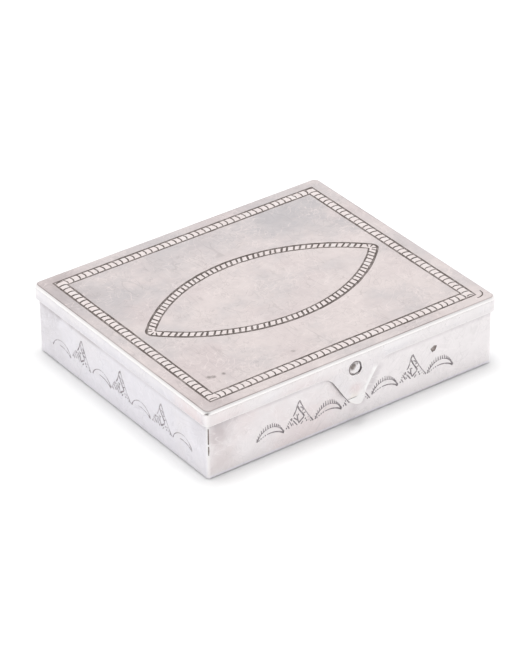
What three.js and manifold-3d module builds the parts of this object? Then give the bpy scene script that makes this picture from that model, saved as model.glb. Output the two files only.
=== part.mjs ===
// A hinged cigarette case of sheet silver: a shallow tray with mitred walls, a lid with a
// turned-down rim, an outside tube hinge along the rear, and a springy front rim whose tongue
// snaps over a domed stud on the front wall.
// Millimetres, +Z up. The origin is the middle of the underside, and the catch faces -Y.

import * as THREE from 'three';
import { mergeVertices } from 'three/addons/utils/BufferGeometryUtils.js';
import Module from 'manifold-3d';

// Overall sizes
const LID_LENGTH = 90;
const LID_DEPTH = 76.2;
const CASE_HEIGHT = 19.7;

// Sheet thicknesses
const FLOOR_SHEET = 0.8;
const WALL_SHEET = 0.8;
const LID_SHEET = 0.9;
const RIM_SHEET = 0.65;

// Lid
const RIM_DROP = 4.15; // lid top to the rim's lower edge
const RIM_GAP = 0.25; // between the rim and the walls
const LID_SEAT_GAP = 0.1; // between the wall tops and the lid plate
const LID_CORNER_RADIUS = 1.9; // upright corners, seen from above
const LID_EDGE_RADIUS = 0.85; // rounding along the top edges

// Catch
const TONGUE_LENGTH = 13.75; // lid top to the tongue's tip
const TONGUE_SIDE_ANGLE = THREE.MathUtils.degToRad(33); // each side, from upright
const TONGUE_ROOT_RADIUS = 5.4; // hollow curve from the rim into the tongue
const TONGUE_TIP_RADIUS = 3.6;
const LIP_DROP = 10.7; // lid top to where the tongue starts to turn outward
const LIP_RADIUS = 3.5; // hollow side of the turned lip
const CATCH_DROP = 4.25; // lid top to the stud's centre
const STUD_RADIUS = 1.65;
const STUD_HEIGHT = 1.25;
const STUD_CLEARANCE = 0.35; // between the stud and the hole in the tongue

// Hinge
const HINGE_LENGTH = 62; // over the outer ends of the knuckles
const KNUCKLE_COUNT = 5; // alternately on the case and the lid, with the case's at both ends
const KNUCKLE_GAP = 0.3; // between neighbouring knuckles
const KNUCKLE_RADIUS = 1.5;
const HINGE_CLEARANCE = 0.15; // between the tubes and the faces that they turn past
const PARTING_GAP = 0.3; // between the rim's lower edge and the bearer
const BEARER_HEIGHT = 2.6;
const FILLET_HEIGHT = 2.2; // solder fillet, from the hinge axis along the face
const PIN_RADIUS = 0.8;
const PIN_CLEARANCE = 0.06;
const PIN_HEAD_RADIUS = 1.1;
const PIN_HEAD_HEIGHT = 0.45;
const PIN_END_PLAY = 0.1; // between each pin head and the end knuckle

// Facets
const ARC_STEP = Math.PI / 16; // along the upright corners
const CURVE_SEGMENTS = 12; // along half of each curve in an outline
const ROUND_STEPS = 32; // around the stud, the hole and the pin
const DOME_RINGS = 8;
const EDGE_RINGS = 4; // across the lid's rounded edges
const HEAD_RINGS = 4;

// Places worked out from the sizes above
const lidX = LID_LENGTH / 2;
const lidY = LID_DEPTH / 2;
const overhang = RIM_SHEET + RIM_GAP;
const caseX = lidX - overhang;
const caseY = lidY - overhang;
const caseCornerRadius = Math.max(LID_CORNER_RADIUS - overhang, 0);
const plateZ = CASE_HEIGHT - LID_SHEET;
const rimZ = CASE_HEIGHT - RIM_DROP;
const catchZ = CASE_HEIGHT - CATCH_DROP;
const hingeY = lidY + HINGE_CLEARANCE + KNUCKLE_RADIUS;
const hingeZ = rimZ - PARTING_GAP / 2;

const wasm = await Module();
wasm.setup();

const silver = new THREE.MeshStandardMaterial({ color: 0xe0d9d9, roughness: 0.34, metalness: 1 });
const tubeSilver = new THREE.MeshStandardMaterial({ color: 0xcfc8c6, roughness: 0.4, metalness: 1 });
const pinWire = new THREE.MeshStandardMaterial({ color: 0xb9b2a8, roughness: 0.45, metalness: 1 });

// Joining and cutting

function toSolid(geometry) {
  const bare = geometry.clone();
  bare.deleteAttribute('normal');
  bare.deleteAttribute('uv');
  const merged = mergeVertices(bare, 1e-5);
  return new wasm.Manifold(new wasm.Mesh({
    numProp: 3,
    vertProperties: new Float32Array(merged.attributes.position.array),
    triVerts: new Uint32Array(merged.index.array),
  }));
}

function toGeometry(solid) {
  const { vertProperties, triVerts } = solid.getMesh();
  const geometry = new THREE.BufferGeometry();
  geometry.setAttribute('position', new THREE.BufferAttribute(vertProperties, 3));
  geometry.setIndex(new THREE.BufferAttribute(triVerts, 1));
  return geometry;
}

function part(name, geometry, material) {
  const mesh = new THREE.Mesh(geometry, material);
  mesh.name = name;
  return mesh;
}

// Outlines and extrusions

function extrude(shape, depth, bevel = {}) {
  const options = { depth, bevelEnabled: false, curveSegments: CURVE_SEGMENTS, ...bevel };
  return new THREE.ExtrudeGeometry(shape, options);
}

// A shape drawn in Y and Z, extruded along X between two ends.
function extrudeAlongX(shape, fromX, toX) {
  const axes = new THREE.Matrix4().makeBasis(
    new THREE.Vector3(0, 1, 0),
    new THREE.Vector3(0, 0, 1),
    new THREE.Vector3(1, 0, 0),
  );
  return extrude(shape, toX - fromX).applyMatrix4(axes).translate(fromX, 0, 0);
}

// A shape drawn in X and Z, extruded along -Y from one place to another.
function extrudeAlongY(shape, fromY, toY) {
  return extrude(shape, fromY - toY).rotateX(Math.PI / 2).translate(0, fromY, 0);
}

function cornerPoints(x, y, radius, from, to) {
  const steps = radius > 0 ? Math.ceil(Math.abs(to - from) / ARC_STEP) : 0;
  return Array.from({ length: steps + 1 }, (_, i) => {
    const angle = from + (to - from) * i / Math.max(steps, 1);
    return new THREE.Vector2(x + radius * Math.cos(angle), y + radius * Math.sin(angle));
  });
}

function roundedRectangle(halfX, halfY, radius) {
  const x = halfX - radius;
  const y = halfY - radius;
  const centres = [[x, -y], [x, y], [-x, y], [-x, -y]];
  return new THREE.Shape(centres.flatMap(([cx, cy], i) => (
    cornerPoints(cx, cy, radius, (i - 1) * Math.PI / 2, i * Math.PI / 2)
  )));
}

// One side of a rectangular band of sheet, mitred at both ends: the front one, seen from above.
function mitredStrip(halfX, halfY, sheet, radius) {
  const innerRadius = Math.max(radius - sheet, 0);
  const x = halfX - radius;
  const y = halfY - radius;
  const innerX = halfX - sheet - innerRadius;
  const innerY = halfY - sheet - innerRadius;
  const left = -3 * Math.PI / 4;
  const down = -Math.PI / 2;
  const right = -Math.PI / 4;
  return new THREE.Shape([
    ...cornerPoints(-x, -y, radius, left, down),
    ...cornerPoints(x, -y, radius, down, right),
    ...cornerPoints(innerX, -innerY, innerRadius, right, down),
    ...cornerPoints(-innerX, -innerY, innerRadius, down, left),
  ]);
}

// The four sides of a band: front, right, rear and left, each turned a quarter further.
function bandSide(quarter, halfX, halfY, sheet, radius, fromZ, toZ) {
  const [along, across] = quarter % 2 ? [halfY, halfX] : [halfX, halfY];
  return extrude(mitredStrip(along, across, sheet, radius), toZ - fromZ)
    .rotateZ(quarter * Math.PI / 2)
    .translate(0, 0, fromZ);
}

const FRONT = 0;
const RIGHT = 1;
const REAR = 2;
const LEFT = 3;

// Tray

function floorPlate() {
  return extrude(roundedRectangle(caseX, caseY, caseCornerRadius), FLOOR_SHEET);
}

function wall(quarter) {
  const top = plateZ - LID_SEAT_GAP;
  return bandSide(quarter, caseX, caseY, WALL_SHEET, caseCornerRadius, FLOOR_SHEET, top);
}

// A dome soldered flat on the front wall.
function catchStud() {
  const domeRadius = (STUD_RADIUS ** 2 + STUD_HEIGHT ** 2) / (2 * STUD_HEIGHT);
  const sink = domeRadius - STUD_HEIGHT;
  const rise = Math.asin(sink / domeRadius);
  const profile = [new THREE.Vector2(0, 0)];
  for (let i = 0; i < DOME_RINGS; i += 1) {
    const angle = rise + (Math.PI / 2 - rise) * i / DOME_RINGS;
    profile.push(new THREE.Vector2(domeRadius * Math.cos(angle), domeRadius * Math.sin(angle) - sink));
  }
  profile.push(new THREE.Vector2(0, STUD_HEIGHT));
  return new THREE.LatheGeometry(profile, ROUND_STEPS).rotateX(Math.PI).translate(0, -caseY, catchZ);
}

// Lid

function lidPlate() {
  const edge = Math.min(LID_EDGE_RADIUS, LID_SHEET, LID_CORNER_RADIUS);
  const outline = roundedRectangle(lidX, lidY, LID_CORNER_RADIUS);
  const slab = extrude(outline, LID_SHEET, {
    bevelEnabled: true,
    bevelThickness: edge,
    bevelSize: edge,
    bevelOffset: -edge,
    bevelSegments: EDGE_RINGS,
  }).translate(0, 0, plateZ - edge);
  const above = new THREE.BoxGeometry(2 * LID_LENGTH, 2 * LID_DEPTH, 2 * LID_SHEET);
  above.translate(0, 0, plateZ + LID_SHEET);
  return toGeometry(toSolid(slab).intersect(toSolid(above)));
}

function rim(quarter) {
  return bandSide(quarter, lidX, lidY, RIM_SHEET, LID_CORNER_RADIUS, rimZ, plateZ);
}

// The tongue from the front: hollow curves out of the rim, straight sides and a round tip.
function tongueOutline() {
  const a = TONGUE_SIDE_ANGLE;
  const tipZ = CASE_HEIGHT - TONGUE_LENGTH;
  const apexZ = tipZ - TONGUE_TIP_RADIUS * (1 / Math.sin(a) - 1);
  const reach = TONGUE_ROOT_RADIUS * Math.tan(Math.PI / 4 - a / 2);
  const rootX = (rimZ - apexZ) * Math.tan(a) + reach;
  const rootZ = rimZ - TONGUE_ROOT_RADIUS;
  const shape = new THREE.Shape();
  shape.absarc(0, tipZ + TONGUE_TIP_RADIUS, TONGUE_TIP_RADIUS, Math.PI + a, 2 * Math.PI - a, false);
  shape.absarc(rootX, rootZ, TONGUE_ROOT_RADIUS, Math.PI - a, Math.PI / 2, true);
  shape.lineTo(rootX, plateZ);
  shape.lineTo(-rootX, plateZ);
  shape.absarc(-rootX, rootZ, TONGUE_ROOT_RADIUS, Math.PI / 2, a, true);
  return shape;
}

// The tongue from the side: an upright sheet whose lower end turns outward as a finger lip.
function tongueSection() {
  const lipZ = CASE_HEIGHT - LIP_DROP;
  const lipY = -lidY - LIP_RADIUS;
  const shape = new THREE.Shape();
  shape.moveTo(-lidY, plateZ);
  shape.lineTo(-lidY, lipZ);
  shape.absarc(lipY, lipZ, LIP_RADIUS, 0, -Math.PI / 2, true);
  shape.absarc(lipY, lipZ, LIP_RADIUS + RIM_SHEET, -Math.PI / 2, 0, false);
  shape.lineTo(RIM_SHEET - lidY, plateZ);
  return shape;
}

function frontRimWithTongue() {
  const outline = extrudeAlongY(tongueOutline(), 0, -2 * lidY);
  const section = extrudeAlongX(tongueSection(), -lidX / 2, lidX / 2);
  const holeRadius = STUD_RADIUS + STUD_CLEARANCE;
  const hole = new THREE.CylinderGeometry(holeRadius, holeRadius, 2 * RIM_SHEET, ROUND_STEPS);
  hole.translate(0, RIM_SHEET / 2 - lidY, catchZ);
  const tongue = toSolid(outline).intersect(toSolid(section));
  return toGeometry(toSolid(rim(FRONT)).add(tongue).subtract(toSolid(hole)));
}

// Hinge

// A strip on the rear wall that brings the knuckles out level with the rim.
function hingeBearer() {
  const bearer = new THREE.BoxGeometry(HINGE_LENGTH, overhang, BEARER_HEIGHT);
  return bearer.translate(0, caseY + overhang / 2, rimZ - PARTING_GAP - BEARER_HEIGHT / 2);
}

// A tube end on, with the hollow solder fillet that joins it to the face beside it. That face is
// the rim's, above the parting line, for the lid's knuckles and the bearer's for the case's.
function knuckleOutline(onLid) {
  const up = onLid ? 1 : -1;
  const faceY = -KNUCKLE_RADIUS - HINGE_CLEARANCE;
  const footZ = PARTING_GAP / 2;
  const footAngle = Math.PI - Math.asin(footZ / KNUCKLE_RADIUS);
  const shape = new THREE.Shape();
  shape.absarc(0, 0, KNUCKLE_RADIUS, up * footAngle, up * Math.PI / 2, !onLid);
  shape.quadraticCurveTo(faceY, up * KNUCKLE_RADIUS, faceY, up * FILLET_HEIGHT);
  shape.lineTo(faceY, up * footZ);
  const bore = PIN_RADIUS + PIN_CLEARANCE;
  shape.holes.push(new THREE.Path().absarc(0, 0, bore, 0, 2 * Math.PI, onLid));
  return shape;
}

function knuckle(index) {
  const length = (HINGE_LENGTH - (KNUCKLE_COUNT - 1) * KNUCKLE_GAP) / KNUCKLE_COUNT;
  const fromX = index * (length + KNUCKLE_GAP) - HINGE_LENGTH / 2;
  return extrudeAlongX(knuckleOutline(isLidKnuckle(index)), fromX, fromX + length)
    .translate(0, hingeY, hingeZ);
}

function isLidKnuckle(index) {
  return index % 2 === 1;
}

// A wire through all the knuckles, with both ends hammered over into low round heads.
function hingePin() {
  const end = HINGE_LENGTH / 2 + PIN_END_PLAY;
  const head = [];
  for (let i = 0; i <= HEAD_RINGS; i += 1) {
    const angle = Math.PI / 2 * i / HEAD_RINGS;
    head.push([PIN_HEAD_RADIUS * Math.sin(angle), end + PIN_HEAD_HEIGHT * Math.cos(angle)]);
  }
  const half = [...head, [PIN_RADIUS, end]].map(([r, x]) => new THREE.Vector2(r, x));
  const mirrored = half.map((p) => new THREE.Vector2(p.x, -p.y));
  return new THREE.LatheGeometry([...mirrored, ...half.reverse()], ROUND_STEPS)
    .rotateZ(-Math.PI / 2)
    .translate(0, hingeY, hingeZ);
}

// Assembly

const tray = new THREE.Group();
tray.add(
  part('floor_plate', floorPlate(), silver),
  part('front_wall', wall(FRONT), silver),
  part('right_wall', wall(RIGHT), silver),
  part('rear_wall', wall(REAR), silver),
  part('left_wall', wall(LEFT), silver),
  part('catch_stud', catchStud(), silver),
  part('hinge_bearer', hingeBearer(), tubeSilver),
  part('hinge_pin', hingePin(), pinWire),
);

const lid = new THREE.Group();
lid.add(
  part('lid_plate', lidPlate(), silver),
  part('right_rim', rim(RIGHT), silver),
  part('rear_rim', rim(REAR), silver),
  part('left_rim', rim(LEFT), silver),
  part('front_rim_with_tongue', frontRimWithTongue(), silver),
);

for (let i = 0; i < KNUCKLE_COUNT; i += 1) {
  const [owner, group] = isLidKnuckle(i) ? ['lid', lid] : ['case', tray];
  group.add(part(`${owner}_knuckle_${Math.floor(i / 2) + 1}`, knuckle(i), tubeSilver));
}

const cigaretteCase = new THREE.Group();
cigaretteCase.add(tray, lid);

export default cigaretteCase;
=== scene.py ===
"""A hinged cigarette case of worn sheet silver, with stamped and chased ornament, built around its frame."""

import math
import random

import bmesh
import bpy
from bpy.props import FloatProperty, FloatVectorProperty, IntProperty, PointerProperty
from mathutils import Matrix, Vector, geometry


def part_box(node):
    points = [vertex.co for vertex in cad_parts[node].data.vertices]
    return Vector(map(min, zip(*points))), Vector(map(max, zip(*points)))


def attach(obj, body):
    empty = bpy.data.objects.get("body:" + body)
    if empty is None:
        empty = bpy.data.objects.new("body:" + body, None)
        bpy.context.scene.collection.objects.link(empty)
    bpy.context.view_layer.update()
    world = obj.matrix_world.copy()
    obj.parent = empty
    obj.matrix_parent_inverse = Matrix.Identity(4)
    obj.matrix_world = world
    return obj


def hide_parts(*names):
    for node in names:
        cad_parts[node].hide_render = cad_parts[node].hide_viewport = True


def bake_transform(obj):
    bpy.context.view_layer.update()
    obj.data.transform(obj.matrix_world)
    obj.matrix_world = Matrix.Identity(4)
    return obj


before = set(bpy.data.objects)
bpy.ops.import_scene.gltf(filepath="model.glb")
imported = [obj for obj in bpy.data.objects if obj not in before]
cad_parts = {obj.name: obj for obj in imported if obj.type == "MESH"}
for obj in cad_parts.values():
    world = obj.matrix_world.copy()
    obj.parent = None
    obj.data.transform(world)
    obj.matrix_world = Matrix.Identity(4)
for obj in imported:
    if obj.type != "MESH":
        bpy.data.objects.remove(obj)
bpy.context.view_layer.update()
bpy.ops.object.select_all(action="DESELECT")

bl_info = {
    "name": "Silver cigarette case",
    "version": (1, 0, 0),
    "blender": (4, 5, 0),
    "location": "3D View > Sidebar > Case",
    "description": "Models the sheet-silver case, its ornament and its stage around the packed frame",
    "category": "Object",
}

MM = 0.001
TINY = 1e-6
CORNER_STEPS = 12
SENSOR_WIDTH = 36
# Angles between two faces: flat enough to join, smooth to the eye, and sharp enough to round off
FLAT, SMOOTH, TONGUE_SMOOTH = math.radians(0.5), math.radians(32), math.radians(50)
TONGUE_SHARP, HINGE_SHARP = math.radians(40), math.radians(55)
# Part of a face's normal along an axis, above which it counts as square to that axis
SQUARE, NEARLY_SQUARE = 0.99, 0.97

# Places read from the frame
LID_LOW, LID_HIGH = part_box("lid_plate")
RIM_LOW, RIM_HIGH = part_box("left_rim")
WALL_LOW, WALL_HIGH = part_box("front_wall")
FLOOR_LOW, FLOOR_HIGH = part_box("floor_plate")
STUD_LOW, STUD_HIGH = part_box("catch_stud")
LID_X, LID_Y, LID_TOP = LID_HIGH
CASE_X, CASE_Y = -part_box("left_wall")[0].x, -WALL_LOW.y
STUD_Z = (STUD_LOW.z + STUD_HIGH.z) / 2

# Material slots of a piece: its main face, its cuts or edges, and up to two more finishes
FACE, CUT, ACCENT, EXTRA = range(4)


# Sizes and colours that a user may change

def length(name, description, millimetres):
    return FloatProperty(
        name=name, description=description, default=millimetres * MM, unit="LENGTH", precision=5)


def turning(name, description, degrees):
    return FloatProperty(name=name, description=description, default=math.radians(degrees), subtype="ANGLE")


def colour(name, description, value):
    return FloatVectorProperty(
        name=name, description=description, default=value, subtype="COLOR", min=0, max=1)


class CaseSizes(bpy.types.PropertyGroup):
    """Sheet thicknesses and roundings of the case"""
    wall_sheet: length("Wall sheet", "Thickness of the tray's walls", 0.8)
    rim_sheet: length("Rim sheet", "Thickness of the lid's rims", 0.65)
    case_corner: length("Tray corner", "Radius of the tray's upright corners", 1.0)
    lid_corner: length("Lid corner", "Radius of the lid's upright corners", 1.9)
    soft_edge: length("Soft edge", "Rounding of the rims' lower edges and the tongue", 0.24)
    seam: length("Seam", "Open seam between the lid's plate and its rims", 0.06)
    floor_edge: length("Floor edge", "Rounding under the tray's floor", 0.3)
    stud_dome: length("Stud dome", "Height of the rounded part of the stud", 0.8)
    hinge_edge: length("Hinge edge", "Rounding of the hinge tubes' ends", 0.12)
    flex_end: length("Flex end", "Half-width of the stiff middle of the springy front rim", 15.0)
    flex_step: length("Flex step", "Spacing of the cross cuts that let the front rim bend", 2.0)


class OrnamentSizes(bpy.types.PropertyGroup):
    """Sizes of the chased borders and the stamps"""
    line_width: length("Line width", "Width of a chased line on the lid", 0.62)
    line_depth: length("Line depth", "Depth of a chased line on the lid", 0.19)
    rung_width: length("Rung width", "Width of the short cuts between the lines", 0.47)
    border_x: length("Border half-length", "Middle of the border to its outer line, along the front", 40.9)
    border_y: length("Border half-depth", "Middle of the border to its outer line, front to rear", 34.35)
    border_band: length("Border band", "Between the border's two lines", 2.6)
    border_pitch: length("Border pitch", "Spacing of the border's rungs", 1.85)
    marquise_x: length("Marquise half-length", "Middle of the lid to where its arcs would meet", 36.4)
    marquise_y: length("Marquise half-depth", "Middle of the lid to the marquise's widest place", 16.4)
    marquise_tip: length("Marquise tip", "Rounding of the marquise's tips", 1.9)
    marquise_band: length("Marquise band", "Between the marquise's two lines", 2.2)
    marquise_pitch: length("Marquise pitch", "Spacing of the marquise's rungs", 1.65)
    stamp_width: length("Stamp width", "Width of a stamped line on the walls", 0.42)
    stamp_depth: length("Stamp depth", "Depth of a stamped line on the walls", 0.16)
    tick_width: length("Tick width", "Width of the short strokes in the stamps", 0.34)
    crescent_half: length("Crescent half-width", "Half of a crescent stamp's width", 4.05)
    crescent_rise: length("Crescent rise", "Height of the crescent's outer line", 2.72)
    crescent_hollow: length("Crescent hollow", "Height of the crescent's inner line", 1.2)
    triangle_half: length("Triangle half-width", "Half of a triangle stamp's base", 4.1)
    triangle_rise: length("Triangle rise", "Height of a triangle stamp", 7.1)
    seed: IntProperty(name="Hand seed", description="Seed of the small unevenness of hand work", default=7)


class SilverColours(bpy.types.PropertyGroup):
    """Colours of the worn silver"""
    silver: colour("Lid silver", "Worn silver of the lid", (0.905, 0.815, 0.8))
    front: colour("Front silver", "Worn silver of the front wall", (0.875, 0.836, 0.843))
    side: colour("Side silver", "Worn silver of the side walls and the rims", (0.835, 0.815, 0.855))
    cool: colour("Cool patch", "Grey patches on the lid", (0.66, 0.63, 0.645))
    warm: colour("Warm patch", "Pinkish patches", (0.79, 0.69, 0.69))
    tan: colour("Tan patch", "Brownish patches near the corners", (0.62, 0.53, 0.525))
    # Light tone of polished silver: real polish on the pads, the stud and the corners, and painted highlight
    # on the rims, the lid's edge and the tongue
    polished: colour("Polished", "Edges polished by handling", (0.97, 0.945, 0.94))
    # Dark tone: painted shade under the rims, beside and below the tongue and on its left flank, and the
    # toned silver in the stamps' cuts
    grime_and_shade: colour("Grime", "Toned silver under the rim and at the foot of the walls", (0.42, 0.38, 0.40))
    # Dark oxide of the cuts and spots, also used as painted shade on the stud and the tongue's left flank
    oxide: colour("Oxide", "Dark oxide in the cuts", (0.22, 0.186, 0.172))
    inside: colour("Inside", "Toned silver inside the case", (0.66, 0.59, 0.52))
    tube: colour("Hinge tube", "Drawn tube of the hinge", (0.72, 0.67, 0.66))
    wire: colour("Pin wire", "Wire of the hinge pin", (0.58, 0.53, 0.48))


class StageSettings(bpy.types.PropertyGroup):
    """Camera and studio of the picture"""
    azimuth: turning("Azimuth", "Camera's turn about the case", -35.72)
    elevation: turning("Elevation", "Camera's height angle", 31.858)
    roll: turning("Roll", "Camera's turn about its own axis", -0.732)
    distance: length("Distance", "Camera to the case's origin", 877.0)
    aside: length("Aside", "Camera's shift to the right", -0.864)
    above: length("Above", "Camera's shift upward", 7.465)
    lens: FloatProperty(name="Lens", description="Focal length in mm, on a 36 mm long side", default=189.54)
    floor_size: length("Floor size", "Side of the floor", 6000.0)
    floor_gap: length("Floor gap", "Dark gap between the floor and the case's foot", 0.28)
    floor_colour: colour("Floor", "Colour of the floor", (0.99, 0.99, 0.99))
    lamp_size: length("Lamp size", "Side of the ceiling lamp", 450.0)
    lamp_power: FloatProperty(name="Lamp power", description="Power of the lamp", default=5.8, unit="POWER")


# Modelling helpers

def activate(obj):
    bpy.ops.object.select_all(action="DESELECT")
    obj.select_set(True)
    bpy.context.view_layer.objects.active = obj


def named(name):
    obj = bpy.context.object
    obj.name = name
    obj.data.name = name
    return obj


def apply_modifier(obj, kind, **settings):
    activate(obj)
    modifier = obj.modifiers.new(kind.title(), kind)
    for key, value in settings.items():
        setattr(modifier, key, value)
    bpy.ops.object.modifier_apply(modifier=modifier.name)
    if obj.modifiers:
        raise RuntimeError(f"{kind} could not be applied to {obj.name}")


def add_block(name, low, high):
    bpy.ops.object.select_all(action="DESELECT")
    bpy.ops.mesh.primitive_cube_add(size=1, location=(low + high) / 2)
    obj = named(name)
    obj.scale = high - low
    bpy.ops.object.transform_apply(location=True, rotation=False, scale=True)
    return obj


def edit_all(obj, operator, **settings):
    """Runs an edit-mode operator on the whole mesh."""
    activate(obj)
    bpy.ops.object.mode_set(mode="EDIT")
    bpy.ops.mesh.select_all(action="SELECT")
    operator(**settings)
    bpy.ops.object.mode_set(mode="OBJECT")


def edit_picked(obj, kind, wanted, operator, **settings):
    """Runs an edit-mode operator on the edges or faces that pass a test."""
    activate(obj)
    bpy.ops.object.mode_set(mode="EDIT")
    bpy.ops.mesh.select_mode(type=kind)
    bpy.ops.mesh.select_all(action="DESELECT")
    cage = bmesh.from_edit_mesh(obj.data)
    for element in cage.edges if kind == "EDGE" else cage.faces:
        element.select_set(wanted(element))
    cage.select_flush_mode()
    bmesh.update_edit_mesh(obj.data)
    operator(**settings)
    bpy.ops.object.mode_set(mode="OBJECT")


def round_edges(obj, wanted, radius, segments, slide=True):
    edit_picked(obj, "EDGE", wanted, bpy.ops.mesh.bevel, offset=radius, segments=segments, profile=0.5,
                affect="EDGES", loop_slide=slide)


def is_upright(edge):
    a, b = (v.co for v in edge.verts)
    return abs(a.z - b.z) > TINY


def at_height(height):
    return lambda edge: all(abs(v.co.z - height) < TINY for v in edge.verts)


def slice_off(obj, point, normal):
    """Cuts along a plane, closes the cut and drops what lies beyond it."""
    edit_all(obj, bpy.ops.mesh.bisect, plane_co=point, plane_no=normal, use_fill=True, clear_outer=True,
             threshold=TINY)


def score_across(obj, places):
    """Adds cross cuts at places along X, so that the sheet can bend there."""
    for x in places:
        edit_all(obj, bpy.ops.mesh.bisect, plane_co=(x, 0, 0), plane_no=(1, 0, 0), threshold=TINY)


def merge_points(obj):
    edit_all(obj, bpy.ops.mesh.remove_doubles, threshold=TINY)


def copy_of(obj, name):
    activate(obj)
    bpy.ops.object.duplicate()
    return named(name)


def copy_of_node(node, name):
    """A node's own shape as a new mesh, with its triangles joined into clean faces."""
    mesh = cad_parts[node].data.copy()
    mesh.materials.clear()
    obj = bpy.data.objects.new(name, mesh)
    bpy.context.collection.objects.link(obj)
    merge_points(obj)
    join_flat(obj)
    return named(name)


def join_flat(obj):
    """Joins the faces that lie in one plane and have one finish."""
    edit_all(obj, bpy.ops.mesh.dissolve_limited, angle_limit=FLAT, delimit={"MATERIAL"})


def rounded_block(name, low, high, corner, segments):
    obj = add_block(name, low, high)
    round_edges(obj, is_upright, corner, segments)
    return obj


def band(name, half_x, half_y, low_z, high_z, sheet, corner):
    """A closed band of sheet round the case, with rounded upright corners."""
    low, high = Vector((-half_x, -half_y, low_z)), Vector((half_x, half_y, high_z))
    obj = rounded_block(name, low, high, corner, CORNER_STEPS)
    edit_picked(obj, "FACE", lambda f: abs(f.normal.z) > 0.5, bpy.ops.mesh.delete, type="FACE")
    apply_modifier(obj, "SOLIDIFY", thickness=sheet, offset=-1, use_even_offset=True)
    return obj


def mitred_side(whole, name, quarter, half_x, half_y):
    """One side of a band, cut at 45 degrees at both ends. Quarters run front, right, rear, left."""
    obj = copy_of(whole, name)
    turn = Matrix.Rotation(quarter * math.pi / 2, 3, "Z")
    along, across = (half_y, half_x) if quarter % 2 else (half_x, half_y)
    for end in (-1, 1):
        slice_off(obj, turn @ Vector((end * along, -across, 0)), turn @ Vector((end, 1, 0)))
    return obj


def smooth(obj, angle=SMOOTH):
    """Smooth shading that breaks at sharp edges and where one finish meets another."""
    activate(obj)
    bpy.ops.object.shade_smooth_by_angle(angle=angle)
    cage = bmesh.new()
    cage.from_mesh(obj.data)
    for edge in cage.edges:
        if len({face.material_index for face in edge.link_faces}) > 1:
            edge.smooth = False
    cage.to_mesh(obj.data)
    cage.free()
    apply_modifier(obj, "WEIGHTED_NORMAL", keep_sharp=True)


def paint(obj, *materials):
    for material in materials:
        obj.data.materials.append(material)


def repaint_faces(obj, wanted, slot):
    for face in obj.data.polygons:
        if wanted(face):
            face.material_index = slot


def seat(obj, body, slot, *nodes):
    """Hands a finished piece over to the frame."""
    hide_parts(*nodes)
    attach(obj, body)


# Strokes of the chasing tool and the stamps: the points, the weight at each, and whether the stroke closes

def stroke(points, weights, closed=False):
    return [Vector(p) for p in points], weights, closed


def arc(centre, radius, start, end, count):
    steps = [start + (end - start) * i / (count - 1) for i in range(count)]
    return [Vector((centre[0] + radius * math.sin(a), centre[1] + radius * math.cos(a))) for a in steps]


def uneven(hand, points, amount):
    return [p + Vector((hand.uniform(-amount, amount), hand.uniform(-amount, amount))) for p in points]


def moved(strokes, place, turn):
    """Strokes drawn about their own middle, set down at a place on the face."""
    spin, place = Matrix.Rotation(turn, 2), Vector(place)
    return [([spin @ p + place for p in points], weights, closed) for points, weights, closed in strokes]


def segments(points, closed):
    return list(zip(points, points[1:] + points[:1])) if closed else list(zip(points, points[1:]))


def extent(points):
    xs, ys = [p.x for p in points], [p.y for p in points]
    return min(xs), min(ys), max(xs), max(ys)


def are_apart(one, other, gap):
    """True where two strokes stay further from each other than the gap."""
    a, b = extent(one[0]), extent(other[0])
    if max(a[0] - b[2], b[0] - a[2], a[1] - b[3], b[1] - a[3]) > gap:
        return True
    for p, q in segments(one[0], one[2]):
        for r, s in segments(other[0], other[2]):
            if geometry.intersect_line_line_2d(p, q, r, s):
                return False
            for point, start, end in ((p, r, s), (q, r, s), (r, p, q), (s, p, q)):
                share = geometry.intersect_point_line(point, start, end)[1]
                if (point - start.lerp(end, min(max(share, 0), 1))).length < gap:
                    return False
    return True


def passes(strokes, gap):
    """Sorts strokes into passes in which none touches another, because a cutter may not cross itself."""
    sorted_passes = []
    for one in strokes:
        for group in sorted_passes:
            if all(are_apart(one, other, gap) for other in group):
                group.append(one)
                break
        else:
            sorted_passes.append([one])
    return sorted_passes


# Strokes closer than this many radii of the tool are cut in separate passes
TOOL_ROOM = 2.1


def cut_strokes(obj, strokes, face, width, depth):
    """Cuts strokes into a face. The face is a matrix from across, up and outward to the row frame."""
    radius = (width * width / 4 + depth * depth) / (2 * depth)
    widest = max(max(weights) for _, weights, _ in strokes)
    for group in passes(strokes, TOOL_ROOM * radius * widest):
        cut_once(obj, group, face, radius, radius - depth)


def cut_once(obj, strokes, face, radius, lift):
    curve = bpy.data.curves.new("tool_path", "CURVE")
    curve.dimensions = "3D"
    curve.bevel_depth = radius
    curve.bevel_resolution = 2
    curve.use_fill_caps = True
    for points, weights, closed in strokes:
        spline = curve.splines.new("POLY")
        spline.points.add(len(points) - 1)
        spline.use_cyclic_u = closed
        for target, point, weight in zip(spline.points, points, weights):
            target.co = (face @ Vector((point.x, point.y, lift))).to_4d()
            target.radius = weight
    tool = bpy.data.objects.new("tool", curve)
    bpy.context.collection.objects.link(tool)
    activate(tool)
    bpy.ops.object.convert(target="MESH")
    tool = bpy.context.object
    merge_points(tool)
    tool.data.materials.clear()
    for material in obj.data.materials:
        tool.data.materials.append(material)
    for polygon in tool.data.polygons:
        polygon.material_index = CUT
    apply_modifier(obj, "BOOLEAN", object=tool, operation="DIFFERENCE", solver="MANIFOLD")
    bpy.data.objects.remove(tool)


def face_frame(across, up, origin):
    across, up = Vector(across), Vector(up)
    out = across.cross(up)
    columns = Matrix((across, up, out)).transposed()
    return Matrix.Translation(origin) @ columns.to_4x4()


# Ornament of the lid

# How far the hand strays from a line of the border, the marquise and the triangle stamps
BORDER_STRAY, MARQUISE_STRAY, STAMP_STRAY = 0.035 * MM, 0.03 * MM, 0.05 * MM
# Spacing of the points along the border's lines
BORDER_STEP = 4 * MM


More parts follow.
